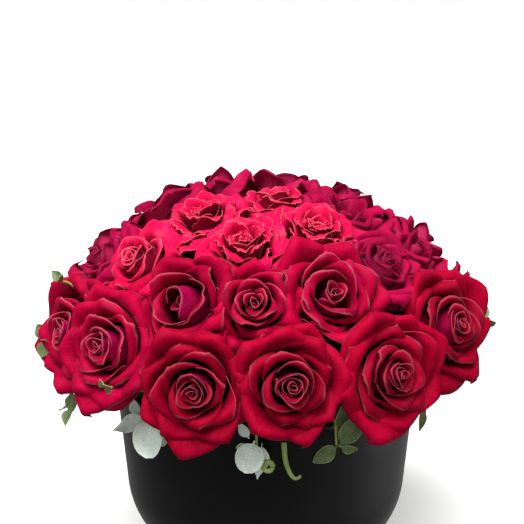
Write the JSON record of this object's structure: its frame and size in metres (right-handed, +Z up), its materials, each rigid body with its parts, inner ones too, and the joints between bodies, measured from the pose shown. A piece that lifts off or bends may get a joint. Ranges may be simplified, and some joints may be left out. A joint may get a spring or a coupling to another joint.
{
  "type": "flower box",
  "caption": "Round black ceramic bowl with a lift-out liner of wet foam, filled with a dome of red roses and small sprigs of eucalyptus round the rim.",
  "frame": {"origin": "middle of the bowl's flat base, on the surface that it stands on", "axes": "+Z up, -Y towards the front of the arrangement, +X to the right of someone facing it"},
  "size_m": [0.3521, 0.3593, 0.3069],
  "materials": {
    "black_glaze": "satin black glaze",
    "liner_plastic": "thin moulded plastic",
    "wet_foam": "wet phenolic flower foam",
    "anchor_plastic": "moulded plastic",
    "putty": "sticky putty",
    "florist_tape": "thin waterproof tape",
    "petals_crimson": "velvety petals",
    "petals_scarlet": "velvety petals",
    "petals_magenta": "velvety petals",
    "rose_stem": "fresh green stem",
    "eucalyptus_leaf": "powdery leaf",
    "green_leaf": "waxy leaf"
  },
  "bodies": {
    "bowl": {"bowl": "black_glaze"},
    "arrangement": {"anchor_putty": "putty", "eucalyptus_back": "eucalyptus_leaf", "eucalyptus_front": "eucalyptus_leaf", "eucalyptus_front_left": "eucalyptus_leaf", "eucalyptus_right": "eucalyptus_leaf", "foam": "wet_foam", "foam_anchor": "anchor_plastic", "greens_back_left": "green_leaf", "greens_back_right": "green_leaf", "greens_front_right": "green_leaf", "greens_left": "green_leaf", "greens_right": "green_leaf", "liner": "liner_plastic", "rose_crown_01": "petals_scarlet", "rose_inner_01": "petals_scarlet", "rose_inner_02": "petals_scarlet", "rose_inner_03": "petals_magenta", "rose_inner_04": "petals_magenta", "rose_inner_05": "petals_magenta", "rose_inner_06": "petals_magenta", "rose_inner_07": "petals_magenta", "rose_inner_08": "petals_scarlet", "rose_middle_01": "petals_scarlet", "rose_middle_02": "petals_scarlet", "rose_middle_03": "petals_magenta", "rose_middle_04": "petals_magenta", "rose_middle_05": "petals_magenta", "rose_middle_06": "petals_magenta", "rose_middle_07": "petals_magenta", "rose_middle_08": "petals_magenta", "rose_middle_09": "petals_magenta", "rose_middle_10": "petals_magenta", "rose_middle_11": "petals_magenta", "rose_middle_12": "petals_magenta", "rose_middle_13": "petals_scarlet", "rose_middle_14": "petals_scarlet", "rose_outer_01": "petals_crimson", "rose_outer_02": "petals_crimson", "rose_outer_03": "petals_crimson", "rose_outer_04": "petals_magenta", "rose_outer_05": "petals_magenta", "rose_outer_06": "petals_magenta", "rose_outer_07": "petals_magenta", "rose_outer_08": "petals_magenta", "rose_outer_09": "petals_magenta", "rose_outer_10": "petals_magenta", "rose_outer_11": "petals_magenta", "rose_outer_12": "petals_magenta", "rose_outer_13": "petals_scarlet", "rose_outer_14": "petals_crimson", "stems_crown": "rose_stem", "stems_inner": "rose_stem", "stems_middle": "rose_stem", "stems_outer": "rose_stem", "tape_strap_lower": "florist_tape", "tape_strap_upper": "florist_tape"}
  },
  "joints": [
    {"name": "liner_lift", "type": "slide", "parent": "bowl", "child": "arrangement", "axis": [0, 0, 1], "range_m": [0, 0.2]}
  ]
}
